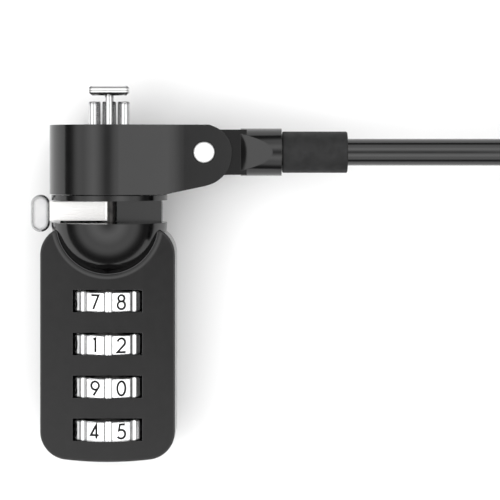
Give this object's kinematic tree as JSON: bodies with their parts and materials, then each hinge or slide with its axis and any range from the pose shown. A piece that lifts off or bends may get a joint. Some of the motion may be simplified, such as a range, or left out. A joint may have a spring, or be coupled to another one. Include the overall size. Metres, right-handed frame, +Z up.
{
  "type": "laptop cable lock",
  "caption": "Keyless combination cable lock for a laptop security slot: slim dial case with turn lever and T-bar, on a swivelling clevis with a coiled vinyl-covered steel cable and loop.",
  "frame": {"origin": "centre of the nose face that bears on the laptop, on the lock axis", "axes": "+Y out of the nose along the T-bar, +X along the cable, +Z up from the surface it lies on"},
  "size_m": [0.1917, 0.0689, 0.0196],
  "materials": {
    "gloss_black": "gloss",
    "satin_black": "satin",
    "chrome": "polished",
    "lever_nickel": "satin",
    "pin_steel": "polished",
    "bright_steel": "satin",
    "dark_steel": "black oxide",
    "bronze": "machined",
    "sleeve_rubber": "matte",
    "cable_jacket": "gloss",
    "strap": "woven"
  },
  "bodies": {
    "cable": {"cable_terminal": "gloss_black", "pivot_bush": "bronze", "cable_sleeve": "sleeve_rubber", "cable_run": "cable_jacket", "cable_coil": "cable_jacket", "cable_tail": "cable_jacket", "coil_ties": "strap", "loop_ferrule": "bright_steel", "anchor_loop": "cable_jacket"},
    "collar": {"swivel_collar": "gloss_black", "clevis_pin": "pin_steel", "clevis_washers": "bright_steel", "thrust_washer": "sleeve_rubber"},
    "housing": {"neck_barrel": "gloss_black", "nose_plate": "gloss_black", "nose_screws": "dark_steel", "anti_rotation_pins": "chrome", "front_case": "satin_black", "rear_case": "satin_black", "case_screws": "dark_steel", "barrel_dowels": "bright_steel", "detent_spring": "bright_steel", "sleeve_spacers": "dark_steel"},
    "lock_bar": {"t_bar": "chrome", "spindle": "dark_steel", "cam_pin": "bright_steel", "lever_arm": "lever_nickel", "lever_knob": "chrome", "lever_rivet": "bright_steel", "lever_dowel": "bright_steel"},
    "code_shaft": {"code_shaft": "bronze"},
    "reset_screw": {"reset_screw": "dark_steel"},
    "dial_1": {"dial_1": "chrome", "clutch_sleeve_1": "dark_steel"},
    "dial_2": {"dial_2": "chrome", "clutch_sleeve_2": "dark_steel"},
    "dial_3": {"dial_3": "chrome", "clutch_sleeve_3": "dark_steel"},
    "dial_4": {"dial_4": "chrome", "clutch_sleeve_4": "dark_steel"}
  },
  "joints": [
    {"name": "clevis_pivot", "type": "hinge", "parent": "cable", "child": "collar", "pos_m": [0.01573, -0.00445, 0], "axis": [0, 0, 1], "range_deg": [-90, 75]},
    {"name": "collar_swivel", "type": "hinge", "parent": "collar", "child": "housing", "pos_m": [0, 0, 0], "axis": [0, 1, 0], "continuous": true},
    {"name": "lever_turn", "type": "hinge", "parent": "housing", "child": "lock_bar", "pos_m": [0, 0, 0], "axis": [0, 1, 0], "range_deg": [0, 90]},
    {"name": "code_shaft_slide", "type": "slide", "parent": "housing", "child": "code_shaft", "axis": [0, -1, 0], "range_m": [0, 0.0014]},
    {"name": "reset_turn", "type": "hinge", "parent": "housing", "child": "reset_screw", "pos_m": [0, -0.0543, 0], "axis": [0, 1, 0], "range_deg": [0, 90]},
    {"name": "dial_1_turn", "type": "hinge", "parent": "housing", "child": "dial_1", "pos_m": [0, -0.0286, 0], "axis": [0, 1, 0], "continuous": true},
    {"name": "dial_2_turn", "type": "hinge", "parent": "housing", "child": "dial_2", "pos_m": [0, -0.03555, 0], "axis": [0, 1, 0], "continuous": true},
    {"name": "dial_3_turn", "type": "hinge", "parent": "housing", "child": "dial_3", "pos_m": [0, -0.0425, 0], "axis": [0, 1, 0], "continuous": true},
    {"name": "dial_4_turn", "type": "hinge", "parent": "housing", "child": "dial_4", "pos_m": [0, -0.04945, 0], "axis": [0, 1, 0], "continuous": true}
  ],
  "couplings": [
    {"joint": "code_shaft_slide", "follows": "lever_turn", "m_per_rad": 0.00089}
  ]
}
